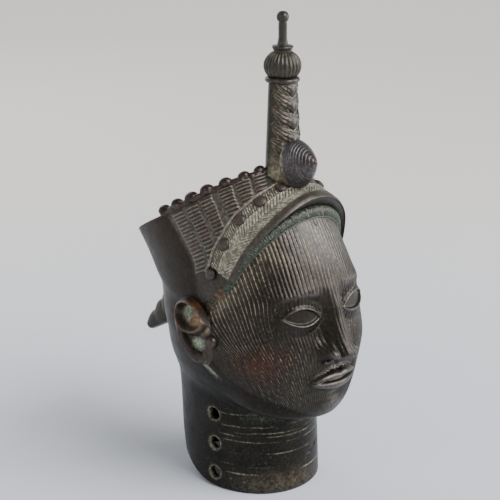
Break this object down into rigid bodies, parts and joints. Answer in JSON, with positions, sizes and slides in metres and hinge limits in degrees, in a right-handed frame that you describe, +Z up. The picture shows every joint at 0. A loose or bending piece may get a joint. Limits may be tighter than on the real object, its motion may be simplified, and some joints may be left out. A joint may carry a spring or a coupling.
{
  "type": "crowned bronze head",
  "caption": "Hollow cast head with a sloping ribbed crown, a feathered brim, a tall plaited crest ending in a fluted ball and stem, and an open neck that it stands on.",
  "frame": {"origin": "under the middle of the object's box, on the surface that the neck stands on", "axes": "+Z up through the neck and the crest, the face looks along -Y, +X is the head's own left"},
  "size_m": [0.147, 0.2278, 0.3842],
  "materials": {
    "bronze": "dark brown-black patina, half dull, with rubbed high places and green and cream deposits in the recesses"
  },
  "bodies": {
    "root": {"bronze_head": "bronze"}
  },
  "joints": []
}
